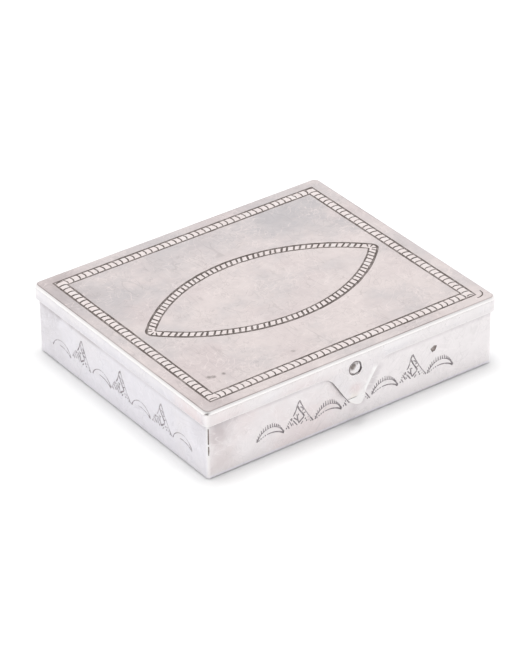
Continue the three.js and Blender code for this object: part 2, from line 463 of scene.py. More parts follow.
def border_lines(sizes, hand, centre, inset):
    x, y = sizes.border_x - inset, sizes.border_y - inset
    corners = [Vector((-x, -y)), Vector((x, -y)), Vector((x, y)), Vector((-x, y))]
    points, weights = [], []
    for a, b in zip(corners, corners[1:] + corners[:1]):
        count = round((b - a).length / BORDER_STEP)
        side = [centre + a.lerp(b, i / count) for i in range(count)]
        points += side[:1] + uneven(hand, side[1:], BORDER_STRAY)
        weights += [hand.uniform(0.88, 1.1) for _ in side]
    return stroke(points, weights, closed=True)


def border_rungs(sizes, hand, centre):
    """Curved cuts across the border's band, with their hollow sides to the left or the front."""
    rungs = []
    half, gap = sizes.border_band / 2, 0.16 * MM
    corner_room, side_room = 1.3 * MM, 0.8 * MM
    for turn in range(4):
        reach, out = (sizes.border_x, sizes.border_y) if turn % 2 == 0 else (sizes.border_y, sizes.border_x)
        spin = Matrix.Rotation(turn * math.pi / 2, 2)
        bulge = 0.34 * MM * (1 if turn in (0, 1) else -1)
        fills_corners = turn % 2 == 1
        run = 2 * reach - corner_room if fills_corners else 2 * (reach - sizes.border_band) - side_room
        count = round(run / sizes.border_pitch)
        for i in range(count + 1):
            along = run * (i / count - 0.5) + hand.uniform(-0.13, 0.13) * MM
            lean = hand.uniform(-0.16, 0.16) * MM
            reach_in = half - gap * hand.uniform(0.2, 2.2)
            points = []
            for t in (-1, -0.5, 0, 0.5, 1):
                shift = bulge * (1 - t * t) + lean * t
                points.append(centre + spin @ Vector((along + shift, half - out + t * reach_in)))
            weight = hand.uniform(0.84, 1.12) * (1.1 if turn == 3 else 1)
            rungs.append(stroke(points, [weight * w for w in (0.75, 1, 1, 0.95, 0.6)]))
    return rungs


def marquise_arc(sizes, inset):
    """Radius, drop of the centre, half-angle, and tip radius and place of a marquise line."""
    x, y = sizes.marquise_x, sizes.marquise_y
    full = (x * x + y * y) / (2 * y)
    drop, radius = full - y, full - inset
    tip = max(sizes.marquise_tip - inset, 0.25 * MM)
    tip_x = math.sqrt((radius - tip) ** 2 - drop ** 2)
    return radius, drop, math.atan2(tip_x, drop), tip, tip_x


def marquise_line(sizes, hand, centre, inset):
    radius, drop, half, tip, tip_x = marquise_arc(sizes, inset)
    weight = 1.12 if inset == 0 else 0.85
    points, weights = [], []
    for side in (1, -1):
        lobe = arc((0, -drop), radius, -half, half, 44)[:-1]
        lobe = lobe[:1] + uneven(hand, lobe[1:], MARQUISE_STRAY)
        lobe += arc((tip_x, 0), tip, half, math.pi - half, 6)[:-1]
        points += [centre + p * side for p in lobe]
        weights += [weight * hand.uniform(0.92, 1.1) for _ in lobe]
    return stroke(points, weights, closed=True)


def marquise_rungs(sizes, hand, centre):
    """Slanted cuts across the marquise's band, and a fan of them in each tip."""
    outer, drop, half, tip, tip_x = marquise_arc(sizes, 0)
    band_width = sizes.marquise_band
    middle = outer - band_width / 2
    count = round(2 * half * outer / sizes.marquise_pitch)
    slant = math.radians(17)
    rungs = []
    for side in (1, -1):
        for i in range(count):
            stagger = hand.uniform(-0.1, 0.1) * sizes.marquise_pitch / outer
            angle = half * (2 * (i + 0.5) / count - 1) + stagger
            out = Vector((math.sin(angle), math.cos(angle)))
            lean = Matrix.Rotation(-slant * hand.uniform(0.6, 1.35), 2) @ out
            spot = Vector((0, -drop)) + out * middle
            ends = [side * (spot + lean * t * band_width * 0.47) for t in (-1, 0, 1)]
            weight = hand.uniform(1.1, 1.45)
            if abs(spot.x) < tip_x - 0.2 * MM:
                rungs.append(stroke([centre + p for p in ends], [0.8 * weight, weight, 0.8 * weight]))
        for turn in (-1.1, -0.4, 0.4, 1.1):
            spoke = Vector((math.cos(turn), math.sin(turn)))
            hub = Vector((tip_x - 0.55 * MM, 0))
            ends = [side * (hub + spoke * t * tip) for t in (0.45, 0.8, 1.12)]
            rungs.append(stroke([centre + p for p in ends], [0.7, 0.9, 0.9]))
    return rungs


# Stamps of the walls, drawn about the middle of their base

def crescent(sizes, hand):
    """A crescent: an outer line with rays, an inner line that breaks into dots, and blunt ends."""
    half, rise, hollow = sizes.crescent_half, sizes.crescent_rise, sizes.crescent_hollow
    outer = (half * half + rise * rise) / (2 * rise)
    inner_half = 0.93 * half
    inner = (inner_half ** 2 + hollow ** 2) / (2 * hollow)
    spread, inner_spread = math.asin(half / outer), math.asin(inner_half / inner)
    line = arc((0, rise - outer), outer, -spread, spread, 25)
    lines = [stroke(line, [0.38 + 0.9 * abs(i / 12 - 1) ** 1.5 for i in range(25)])]
    under = arc((0, hollow - inner), inner, -0.25 * inner_spread, inner_spread, 14)
    lines.append(stroke(under + [Vector((1.01 * half, -0.08 * rise))], [0.72 + 0.03 * i for i in range(15)]))
    ticks = []
    count = 15
    for i in range(count):
        t = 2 * (i + 0.5) / count - 1
        lean = -0.07 - 0.19 * abs(t) - 0.14 * max(t, 0)
        ray = Vector((math.sin(lean), math.cos(lean)))
        foot = arc((0, rise - outer), outer, spread * t, 0, 2)[0]
        reach = (1.25 - 0.6 * t * t) * MM * hand.uniform(0.88, 1.1)
        points = [foot - 0.05 * MM * ray, foot + 0.5 * reach * ray, foot + reach * ray]
        ticks.append(stroke(points, [1, 0.9, 0.55]))
    slope = Vector((0.16 * MM, 0.14 * MM))
    for i in range(4):
        spot = arc((0, hollow - inner), inner, -inner_spread * (0.38 + 0.17 * i), 0, 2)[0]
        ticks.append(stroke([spot + slope, spot, spot - slope], [0.85, 1, 0.85]))
    return lines, ticks


def triangle(sizes, hand):
    """A triangle: a hatched left side, a beaded right side, and a leaf and chevrons inside."""
    wide, high = sizes.triangle_half / TRIANGLE_HALF, sizes.triangle_rise / TRIANGLE_RISE

    def struck(x, z):
        return Vector((x * wide, z * high)) + uneven(hand, [Vector((0, 0))], STAMP_STRAY)[0]

    def drawn(strokes):
        return [stroke([struck(x, z) for x, z in points], weights) for points, weights in strokes]

    return drawn(TRIANGLE_LINES), drawn(TRIANGLE_TICKS)


# The triangle stamp's size, and its strokes about the middle of its base, in millimetres with their weights
TRIANGLE_HALF, TRIANGLE_RISE = 4.1, 7.1
TRIANGLE_LINES = (
    (((0.0, 7.1), (0.63, 5.72), (1.48, 4.1), (2.62, 1.99), (4.1, -0.3)), (1.1, 0.7, 0.65, 0.65, 1.05)),
    (((-0.1, 6.85), (-0.62, 5.95), (-1.05, 4.64), (-1.48, 3.8), (-1.9, 3.2)), (1.2, 1.0, 0.8, 1.05, 0.8)),
)
TRIANGLE_TICKS = (
    (((-0.62, 5.8), (-0.1, 4.5), (0.33, 3.8), (0.88, 3.0), (1.42, 2.0)), (1.2, 1.2, 1.0, 1.3, 1.2)),
    (((1.3, 1.85), (0.27, 1.1), (-0.27, 0.6)), (1.1, 1.4, 1.3)),
    (((-1.0, 3.4), (-0.69, 2.9), (-0.69, 1.9), (-0.32, 0.75)), (0.7, 1.0, 1.2, 1.0)),
    (((-1.75, 2.7), (-1.3, 2.2), (-0.85, 1.7)), (0.9, 1.1, 0.8)),
    (((-2.05, 2.0), (-1.55, 1.3), (-0.8, 0.2)), (0.9, 1.2, 0.8)),
    (((-0.42, 3.35), (-0.38, 3.15), (-0.35, 2.95)), (1.0, 1.3, 1.0)),
    (((0.05, 5.1), (0.45, 5.1), (0.85, 4.65), (1.3, 4.15)), (0.6, 0.8, 1.2, 0.9)),
    (((0.62, 3.95), (1.0, 3.9), (1.35, 3.95)), (0.7, 0.8, 0.8)),
    (((1.2, 2.95), (1.5, 2.95), (1.8, 3.05)), (0.8, 0.9, 0.8)),
    (((1.0, 0.75), (0.62, 0.35), (0.35, 0.02)), (0.8, 1.0, 0.8)),
    (((1.66, 1.4), (1.76, 1.15), (1.85, 0.9)), (1.0, 1.2, 1.0)),
    (((2.0, 0.65), (2.1, 0.45), (2.2, 0.25)), (1.0, 1.2, 1.0)),
    (((2.4, 1.3), (2.5, 1.28), (2.58, 1.2)), (0.9, 1.0, 0.9)),
    (((2.8, 0.6), (2.88, 0.52), (2.95, 0.45)), (1.0, 1.1, 1.0)),
    (((3.3, 0.0), (3.4, -0.08), (3.48, -0.15)), (1.0, 1.1, 1.0)),
    (((-2.44, 2.83), (-2.36, 2.4), (-2.3, 2.05)), (0.9, 1.1, 0.8)),
    (((-2.88, 2.75), (-2.7, 2.4), (-2.5, 2.05)), (0.6, 0.9, 0.7)),
    (((-3.22, 2.3), (-2.8, 1.5), (-2.38, 0.55)), (0.7, 1.0, 0.8)),
    (((-3.58, 1.75), (-3.45, 1.58), (-3.34, 1.4)), (0.8, 0.9, 0.8)),
    (((-3.82, 1.2), (-3.5, 0.7), (-3.16, 0.12)), (0.8, 1.1, 0.8)),
    (((-4.12, 0.7), (-4.06, 0.48), (-4.0, 0.25)), (0.9, 1.0, 0.9)),
    (((-2.3, 1.3), (-2.15, 0.95), (-2.0, 0.55)), (0.6, 0.8, 0.6)),
)


# Middles of the stamps along each wall in millimetres, seen from outside, left to right
FRONT_STAMPS = (
    (crescent, -25.44, 4.86), (triangle, -16.5, 4.99), (crescent, -7.77, 4.75), (triangle, 1.0, 4.68),
    (crescent, 9.81, 4.95), (triangle, 18.76, 4.81), (crescent, 27.4, 4.36),
)
SIDE_STAMPS = (
    (crescent, -26.7, 4.74), (triangle, -17.66, 5.2), (crescent, -8.61, 5.05), (triangle, 0.01, 5.06),
    (crescent, 8.7, 4.89), (triangle, 17.79, 4.7), (crescent, 26.5, 4.72),
)
# Force of the worn side stamps, where 1 is a full strike
SIDE_FORCE = 0.6


def stamp_wall(obj, stamps, face, sizes, hand, force):
    """Strikes each stamp once into a wall. A crescent struck with less force leaves only thin lines."""
    lines, ticks = [], []
    for draw, along, height in stamps:
        place, turn = (along * MM, height * MM), math.radians(hand.uniform(-2.2, 2.2))
        drawn_lines, drawn_ticks = draw(sizes, hand)
        if draw is crescent and force < 1:
            drawn_lines = [(points, [0.25 + force * w for w in weights], closed)
                           for points, weights, closed in drawn_lines]
            drawn_ticks = []
        lines += moved(drawn_lines, place, turn)
        ticks += moved(drawn_ticks, place, turn)
    cut_strokes(obj, lines, face, sizes.stamp_width, sizes.stamp_depth)
    cut_strokes(obj, ticks, face, sizes.tick_width, sizes.stamp_depth)


# Shader groups

def node_group(name, inputs, outputs):
    """A new shader group. An input without a default is a vector, and all others are plain values."""
    group = bpy.data.node_groups.new(name, "ShaderNodeTree")
    for label, default in inputs.items():
        kind = "NodeSocketVector" if default is None else "NodeSocketFloat"
        socket = group.interface.new_socket(name=label, in_out="INPUT", socket_type=kind)
        if default is not None:
            socket.default_value = default
    for label in outputs:
        group.interface.new_socket(name=label, in_out="OUTPUT", socket_type="NodeSocketFloat")
    return group, group.nodes.new("NodeGroupInput").outputs, group.nodes.new("NodeGroupOutput").inputs


def feed(tree, socket, value):
    """Links a socket to another one, or sets it to a constant."""
    if isinstance(value, bpy.types.NodeSocket):
        tree.links.new(value, socket)
    else:
        socket.default_value = value


def add_node(tree, kind, inputs=None, **settings):
    node = tree.nodes.new(kind)
    for key, value in settings.items():
        setattr(node, key, value)
    for socket, value in (inputs or {}).items():
        feed(tree, node.inputs[socket], value)
    return node


def math_node(tree, operation, *values, clamp=False):
    inputs = dict(enumerate(values))
    return add_node(tree, "ShaderNodeMath", inputs, operation=operation, use_clamp=clamp).outputs[0]


def vector_math(tree, operation, a, b):
    return add_node(tree, "ShaderNodeVectorMath", {0: a, 1: b}, operation=operation).outputs


def ramp(tree, value, low, high):
    """Maps a value to 0 at low and 1 at high, softly."""
    node = add_node(tree, "ShaderNodeMapRange", {"Value": value, "From Min": low, "From Max": high})
    node.interpolation_type = "SMOOTHSTEP"
    return node.outputs["Result"]


def mix_colour(tree, factor, a, b):
    node = add_node(tree, "ShaderNodeMix", data_type="RGBA")
    feed(tree, node.inputs[0], factor)
    for socket, tone in ((node.inputs[6], a), (node.inputs[7], b)):
        feed(tree, socket, tone if isinstance(tone, bpy.types.NodeSocket) else (*tone, 1))
    return node.outputs[2]


def noise(tree, vector, scale, detail, roughness):
    inputs = {"Vector": vector, "Scale": scale, "Detail": detail, "Roughness": roughness}
    return add_node(tree, "ShaderNodeTexNoise", inputs).outputs["Fac"]


def turned(tree, vector, location=(0, 0, 0), rotation=(0, 0, 0), scale=(1, 1, 1)):
    inputs = {"Vector": vector, "Location": location, "Rotation": rotation, "Scale": scale}
    return add_node(tree, "ShaderNodeMapping", inputs).outputs["Vector"]


def patina_group():
    """Soft cool and warm patches of old silver, smaller clouds of haze, and a fine grain."""
    group, entry, leave = node_group(
        "patina", {"Vector": None, "Patch Scale": 60.0}, ("Cool", "Warm", "Haze", "Grain"))
    vector, scale = entry["Vector"], entry["Patch Scale"]

    def clouds(place, size, detail, roughness, low, high):
        return ramp(group, noise(group, turned(group, vector, place), size, detail, roughness), low, high)

    values = {
        "Cool": clouds((0.013, 0.04, 0.02), scale, 4, 0.6, 0.42, 0.68),
        "Warm": clouds((0.21, 0.11, 0.07), scale, 4, 0.6, 0.45, 0.7),
        "Haze": clouds((0.08, 0.3, 0.02), 420, 5, 0.65, 0.36, 0.66),
        "Grain": noise(group, vector, 1800, 4, 0.7),
    }
    for label, value in values.items():
        group.links.new(value, leave[label])
    return group


def scratch_group():
    """Bent hairlines in several directions, broken up so that none runs across the whole sheet."""
    group, entry, leave = node_group("hairlines", {"Vector": None, "Amount": 1.0}, ("Dark", "Bright"))
    sway = add_node(group, "ShaderNodeTexNoise", {"Vector": entry["Vector"], "Scale": 90.0, "Detail": 1.0})
    bend = vector_math(group, "SUBTRACT", sway.outputs["Color"], (0.5, 0.5, 0.5))["Vector"]
    bend = add_node(group, "ShaderNodeVectorMath", {0: bend, "Scale": 0.0014}, operation="SCALE").outputs[0]
    vector = vector_math(group, "ADD", entry["Vector"], bend)["Vector"]
    layers = (
        ("Dark", 0.35, 0.2, 0.9, 0.0), ("Dark", 2.1, 0.7, 1.7, 0.6), ("Dark", 1.1, 2.4, 0.3, 1.7),
        ("Bright", 1.25, 2.0, 0.4, 0.3), ("Bright", 2.75, 1.3, 0.1, 0.9), ("Bright", 0.7, 0.4, 2.2, 2.3),
    )
    totals = {}
    for tone, angle, tilt_x, tilt_y, offset in layers:
        turn = turned(group, vector, (offset, 0.1, 0.2), (tilt_x, tilt_y, angle))
        drawn = noise(group, turned(group, turn, scale=(30, 620, 620)), 1.0, 0, 0.4)
        off_line = math_node(group, "ABSOLUTE", math_node(group, "SUBTRACT", drawn, 0.5))
        patches = ramp(group, noise(group, turn, 150, 2, 0.5), 0.48, 0.62)
        layer = math_node(group, "MULTIPLY", ramp(group, off_line, 0.028, 0.006), patches)
        totals[tone] = math_node(group, "MAXIMUM", totals[tone], layer) if tone in totals else layer
    for tone, total in totals.items():
        group.links.new(math_node(group, "MULTIPLY", total, entry["Amount"]), leave[tone])
    return group


def stain_and_light_group():
    """A ragged soft-edged patch about a place, for stains and for painted shade and highlights."""
    group, entry, leave = node_group("soft_stain_and_painted_light", {"Vector": None, "Place": None, "Reach": 0.01}, ("Mask",))
    span = vector_math(group, "DISTANCE", entry["Vector"], entry["Place"])["Value"]
    share = math_node(group, "DIVIDE", span, entry["Reach"])
    ragged = math_node(group, "MULTIPLY_ADD", noise(group, entry["Vector"], 130, 5, 0.65), 1.5, -0.75)
    group.links.new(ramp(group, math_node(group, "ADD", share, ragged), 1.0, 0.1), leave["Mask"])
    return group


def edge_group():
    """Upright corners of a box, rubbed bright by handling."""
    group, entry, leave = node_group(
        "rubbed_corners", {"Vector": None, "Half X": 0.04, "Half Y": 0.04, "Width": 0.001}, ("Mask",))
    parts = add_node(group, "ShaderNodeSeparateXYZ", {"Vector": entry["Vector"]}).outputs
    gaps = []
    for axis in "XY":
        off_middle = math_node(group, "ABSOLUTE", parts[axis])
        gaps.append(math_node(group, "SUBTRACT", entry[f"Half {axis}"], off_middle))
    share = math_node(group, "DIVIDE", math_node(group, "MAXIMUM", *gaps), entry["Width"])
    group.links.new(ramp(group, share, 1.0, 0.25), leave["Mask"])
    return group


def spot_group():
    """Scattered small dark specks of tarnish."""
    group, entry, leave = node_group("tarnish_specks", {"Vector": None, "Spacing Scale": 120.0}, ("Specks",))
    inputs = {"Vector": entry["Vector"], "Scale": entry["Spacing Scale"], "Randomness": 1.0}
    cells = add_node(group, "ShaderNodeTexVoronoi", inputs).outputs
    chance = add_node(group, "ShaderNodeSeparateColor", {"Color": cells["Color"]}).outputs["Red"]
    radius = math_node(group, "MULTIPLY", ramp(group, chance, 0.72, 1.0), 0.05)
    inside = math_node(group, "SUBTRACT", radius, cells["Distance"])
    group.links.new(ramp(group, inside, -0.008, 0.012), leave["Specks"])
    return group


# Materials

def new_material(name):
    material = bpy.data.materials.new(name)
    material.use_nodes = True
    tree = material.node_tree
    return material, tree, tree.nodes["Principled BSDF"]


def use_group(tree, group, **inputs):
    """A group's node. An underscore in a keyword stands for the space in a socket's name."""
    inputs = {label.replace("_", " "): value for label, value in inputs.items()}
    return add_node(tree, "ShaderNodeGroup", inputs, node_tree=group).outputs


# Share of each layer in the tone of worn silver, and the strength and depth of its dents
PATCH_SHARE, HAZE_SHARE, SPECK_SHARE, CORNER_SHARE = 0.5, 0.06, 0.55, 0.6
DARK_LINE_SHARE, BRIGHT_LINE_SHARE = 0.2, 0.5
DENT_STRENGTH, DENT_DEPTH = 0.35, 0.2 * MM


def scaled(tone, share):
    return [share * c for c in tone]


def silver_material(name, groups, base, cool, warm, roughness, scratch, patch_scale,
                    stains_and_painted_light=(), levels=(), corners=None, metal=1.0):
    """Worn silver: patches, haze, hairlines, specks and shallow dents.

    Stains are a place and reach in millimetres, an amount and a colour. Levels are a clear height and a
    full height in millimetres, an amount and a colour. Corners are a half-length and half-depth, a width
    and a colour. A dull skin on the silver lowers its metal share.
    """
    material, tree, principled = new_material(name)
    place = add_node(tree, "ShaderNodeTexCoord").outputs["Object"]

    def tinted(tone, mask, amount, tint):
        return mix_colour(tree, math_node(tree, "MULTIPLY", mask, amount), tone, tint)

    patina = use_group(tree, groups["patina"], Vector=place, Patch_Scale=patch_scale)
    lines = use_group(tree, groups["hairlines"], Vector=place, Amount=scratch)
    specks = use_group(tree, groups["tarnish_specks"], Vector=place)["Specks"]
    tone = tinted(base, patina["Cool"], PATCH_SHARE, cool)
    tone = tinted(tone, patina["Warm"], PATCH_SHARE, warm)
    # Some stains are painted shade and painted highlights, laid on like the real stains
    for spot, reach, amount, stain in stains_and_painted_light:
        spot, reach = Vector(spot) * MM, reach * MM
        spread = use_group(tree, groups["soft_stain_and_painted_light"], Vector=place, Place=spot, Reach=reach)
        tone = tinted(tone, spread["Mask"], amount, stain)
    tone = tinted(tone, patina["Haze"], HAZE_SHARE, scaled(cool, 0.5))
    tone = tinted(tone, lines["Dark"], DARK_LINE_SHARE, scaled(base, 0.42))
    tone = tinted(tone, lines["Bright"], BRIGHT_LINE_SHARE, scaled(base, 1.12))
    tone = tinted(tone, specks, SPECK_SHARE, scaled(warm, 0.3))
    height = add_node(tree, "ShaderNodeSeparateXYZ", {"Vector": place}).outputs["Z"]
    # Some levels are painted shade under the rims and painted highlight bands
    for clear, full, amount, level_tone in levels:
        patchy = math_node(tree, "MULTIPLY_ADD", patina["Warm"], 0.8 * amount, 0.5 * amount)
        mask = math_node(tree, "MULTIPLY", ramp(tree, height, clear * MM, full * MM), patchy, clamp=True)
        tone = mix_colour(tree, mask, tone, level_tone)
    if corners:
        half_x, half_y, width, rubbed = corners
        worn = use_group(
            tree, groups["rubbed_corners"], Vector=place, Half_X=half_x, Half_Y=half_y, Width=width)
        tone = tinted(tone, worn["Mask"], CORNER_SHARE, rubbed)
    tree.links.new(tone, principled.inputs["Base Color"])
    haze = math_node(tree, "MULTIPLY_ADD", patina["Grain"], 0.16, roughness - 0.08)
    haze = math_node(tree, "MULTIPLY_ADD", patina["Haze"], 0.06, haze)
    tree.links.new(haze, principled.inputs["Roughness"])
    principled.inputs["Metallic"].default_value = metal
    dents = noise(tree, place, 75, 2, 0.5)
    relief = math_node(tree, "MULTIPLY_ADD", dents, 1.4, math_node(tree, "MULTIPLY", lines["Dark"], -0.03))
    inputs = {"Height": relief, "Strength": DENT_STRENGTH, "Distance": DENT_DEPTH}
    bump = add_node(tree, "ShaderNodeBump", inputs)
    tree.links.new(bump.outputs["Normal"], principled.inputs["Normal"])
    return material


def groove_material(name, groups, oxide, silver, wear):
    """Oxidised cut: dark in most places and rubbed back to silver in some."""
    material, tree, principled = new_material(name)
    place = add_node(tree, "ShaderNodeTexCoord").outputs["Object"]
    patina = use_group(tree, groups["patina"], Vector=place, Patch_Scale=700.0)
    rubbed = math_node(tree, "MULTIPLY", patina["Cool"], wear, clamp=True)
    tree.links.new(mix_colour(tree, rubbed, oxide, silver), principled.inputs["Base Color"])
    rough = math_node(tree, "MULTIPLY_ADD", patina["Grain"], 0.2, 0.42)
    tree.links.new(rough, principled.inputs["Roughness"])
    principled.inputs["Metallic"].default_value = 0.8
    return material


def make_materials(colours):
    groups = {
        "patina": patina_group(), "hairlines": scratch_group(), "tarnish_specks": spot_group(),
        "soft_stain_and_painted_light": stain_and_light_group(), "rubbed_corners": edge_group(),
    }
    silver, cool, warm = tuple(colours.silver), tuple(colours.cool), tuple(colours.warm)
    polished, oxide, tan = tuple(colours.polished), tuple(colours.oxide), tuple(colours.tan)
    front, side, grime_and_shade = tuple(colours.front), tuple(colours.side), tuple(colours.grime_and_shade)
    inside, tube, wire = tuple(colours.inside), tuple(colours.tube), tuple(colours.wire)
    # Tones of painted light on the tongue: a cream painted reflection and a white painted highlight
    cream, bright = (0.95, 0.9, 0.83), (1.0, 0.99, 0.99)

    # Soft stains of each face, by their place on it, and painted shade and highlights laid on the same way
    lid_top, rim_low = LID_TOP / MM, RIM_LOW.z / MM
    front_y, side_x, rim_x, rim_y = -CASE_Y / MM, -CASE_X / MM, -LID_X / MM, -LID_Y / MM
    stud_y, stud_z = STUD_LOW.y / MM, STUD_Z / MM
    lid_stains = [((x, y, lid_top), *stain) for x, y, *stain in (
        (-37, 24, 21, 0.62, cool), (-10, 31, 24, 0.42, cool), (27, 27, 22, 0.85, cool),
        (-35, -20, 15, 0.6, warm), (-44, 31, 15, 0.36, tan), (-38, 37, 11, 0.4, tan),
        (-40, -34, 9, 0.4, tan), (-34.9, -25.2, 0.9, 0.6, oxide), (-33.8, -25.6, 0.9, 0.6, oxide),
        (-31.1, -25.95, 0.8, 0.65, oxide), (-11.5, -27.85, 0.8, 0.45, oxide),
    )]
    # Brown and warm stains; painted shade under the rim at the left corner, painted shadow right of the
    # tongue and below its lip
    front_stains_and_shadows = [((x, front_y, z), *stain) for x, z, *stain in (
        (-41, 12.5, 6, 0.55, tan), (-40, 4, 7, 0.45, tan), (-33, 15, 11, 0.5, warm), (-14, 1, 16, 0.6, warm),
        (-2, 14, 9, 0.4, warm), (-40, 14.5, 7, 0.45, grime_and_shade), (8.0, 12.4, 1.9, 0.3, grime_and_shade),
        (6.8, 10.8, 1.9, 0.3, grime_and_shade), (5.8, 9.2, 1.9, 0.35, grime_and_shade), (4.8, 7.6, 1.9, 0.35, grime_and_shade),
        (2.6, 4.9, 2.4, 0.25, grime_and_shade), (0.4, 4.2, 2.4, 0.25, grime_and_shade),
    )]
    # A painted shade line and patches under the rim, and a cool patch at the rear end
    side_stains_and_shade = [((side_x, y, z), *stain) for y, z, *stain in (
        (34, rim_low - 0.2, 2.6, 0.6, grime_and_shade), (28, rim_low - 0.2, 2.6, 0.6, grime_and_shade),
        (22, rim_low - 0.2, 2.2, 0.5, grime_and_shade), (36, 8, 15, 0.5, cool), (31, 14.6, 6, 0.45, grime_and_shade),
        (-34, 14, 6, 0.2, grime_and_shade),
    )]
    # Painted highlights along the tongue's right edge and on its lip, painted shade at the lip's bend, a
    # painted cream reflection on the lip's left, and two warm patches of the rim
    tongue_highlights_and_stains = [((x, rim_y - out, z), *stain) for x, out, z, *stain in (
        (6.2, 0, 12.6, 1.7, 1.0, bright), (5.2, 0, 11.1, 1.7, 1.0, bright), (4.4, 0, 9.7, 1.7, 1.0, bright),
        (3.8, 0, 8.5, 1.7, 1.0, bright), (0.2, 0, 9.3, 2.8, 0.75, warm), (-0.8, 0.8, 6.9, 2.6, 0.8, cream),
        (1.9, 0.7, 7.2, 2.2, 0.9, polished), (-16, 0, 17, 12, 0.5, warm), (-40, 0, 17, 10, 0.5, warm),
    )]
    rim_stains = (((rim_x, -32, 17), 10, 0.85, warm), ((rim_x, 24, 16), 12, 0.3, cool))
    # Painted shade on the stud's upper left, in the oxide colour
    stud_painted_shade = (
        ((-1.15, stud_y + 0.25, stud_z + 0.55), 1.0, 1.0, oxide),
        ((-0.5, stud_y + 0.25, stud_z + 1.1), 1.0, 1.0, oxide),
        ((0.5, stud_y + 0.3, stud_z + 1.3), 0.7, 0.8, oxide),
    )

    # Tones that change with height, and rubbed corners. The heights paint shade under the rims and highlight
    # bands on the rims and the lid's rounded edge.
    # Painted shade under the rims on the walls, and a painted shade line in the gap just under the side rims
    front_shade_under_rim = (rim_low - 1.9, rim_low - 0.8, 0.45, grime_and_shade)
    side_shade_under_rim = (rim_low - 2.2, rim_low - 1.1, 0.5, grime_and_shade)
    side_gap_shade = (rim_low - 0.8, rim_low - 0.25, 0.45, grime_and_shade)
    # Painted highlight band on the rims' upper part
    rim_band = (lid_top - 3.4, lid_top - 1.9, 0.4, polished)
    # A thin tan line at the top of the lid's rounded edge, then a band of polish and painted highlight
    lid_edge_tone_and_highlight = (
        (lid_top - 0.001, lid_top - 0.012, 0.9, scaled(tan, 0.72)),
        (lid_top - 0.05, lid_top - 0.13, 2.0, polished),
    )
    tray_corners = (CASE_X, CASE_Y, 1.0 * MM, polished)
    lid_corners = (LID_X, LID_Y, 1.6 * MM, polished)

    # Each finish: its name, its base, cool and warm tones, roughness, scratches and size of its patches
    finishes = {
        "lid": ("lid_silver", silver, cool, warm, 0.36, 1.0, 60.0, lid_stains, lid_edge_tone_and_highlight),
        "front_wall": (
            "front_wall_silver", front, scaled(front, 0.97), scaled(front, 0.96), 0.34, 0.7, 45.0,
            front_stains_and_shadows, (front_shade_under_rim,), tray_corners, 0.5),
        "side_wall": (
            "side_wall_silver", side, scaled(side, 0.97), scaled(front, 0.96), 0.34, 0.7, 45.0,
            side_stains_and_shade, (side_shade_under_rim, side_gap_shade), tray_corners, 0.5),
        "rim": (
            "rim_silver", scaled(side, 0.93), scaled(side, 0.9), scaled(front, 0.9), 0.3, 0.8, 70.0,
            rim_stains, (rim_band,), lid_corners, 0.8),
        "front_rim": (
            "front_rim_silver", scaled(front, 0.96), scaled(front, 0.94), scaled(side, 0.94), 0.3, 0.8, 70.0,
            tongue_highlights_and_stains, (rim_band,), lid_corners, 0.5),
        "stud": ("stud_silver", front, side, polished, 0.15, 0.4, 400.0, stud_painted_shade, (), None, 0.4),
        # Polished tone with a low metal share: painted highlights on the rims' lower edges, the tongue's
        # right flank and lip, and painted light on the edge of the stud's hole
        "bright_edge": ("bright_edge", polished, polished, polished, 0.28, 0.3, 200.0, (), (), None, 0.3),
        # Painted shade on the tongue's left flank
        "cut_edge": ("cut_edge", scaled(grime_and_shade, 0.55), oxide, oxide, 0.4, 0.3, 200.0),
        "pads": ("polished_pads", scaled(silver, 1.11), silver, polished, 0.3, 0.6, 400.0),
        "inside": ("toned_inside", inside, cool, scaled(inside, 0.8), 0.42, 0.6, 50.0),
        "tube": ("hinge_tube", tube, cool, warm, 0.38, 0.6, 200.0),
        "wire": ("pin_wire", wire, scaled(wire, 0.7), warm, 0.42, 0.5, 300.0),
    }
    materials = {key: silver_material(name, groups, *rest) for key, (name, *rest) in finishes.items()}
    materials["groove"] = groove_material("oxidised_cut", groups, oxide, silver, 0.35)
    materials["front_groove"] = groove_material("stamped_cut", groups, scaled(grime_and_shade, 0.72), front, 0.5)
    materials["side_groove"] = groove_material("worn_cut", groups, grime_and_shade, side, 0.7)
    return materials


# Operators, one for each piece or group of like pieces

# Finishes by key, filled by the first step that runs
MATERIALS = {}


class CaseStep:
    """Options that all steps share"""
    bl_options = {"REGISTER", "UNDO"}


def workbench(context):
    """The sizes, the ornament's sizes and a fresh hand for one step, with the materials at the ready."""
    scene = context.scene
    if not bpy.data.materials.get("lid_silver"):
        MATERIALS.update(make_materials(scene.silver_colours))
    return scene.case_sizes, scene.ornament_sizes, random.Random(scene.ornament_sizes.seed)


# A curved scratch on the lid's top, in millimetres
CORNER_SCRATCH = ((43.1, -33.2), (42.9, -34.5), (42.2, -35.35), (41.2, -35.7), (40.2, -35.75))
# Width and depth of the open place in the lid's corner seam
DASH_CUT = 0.24 * MM, 0.16 * MM
# Middles of the chased border and of the marquise on the lid
BORDER_CENTRE = Vector((-0.04, 0.15)) * MM
MARQUISE_CENTRE = Vector((0.15, 0.15)) * MM


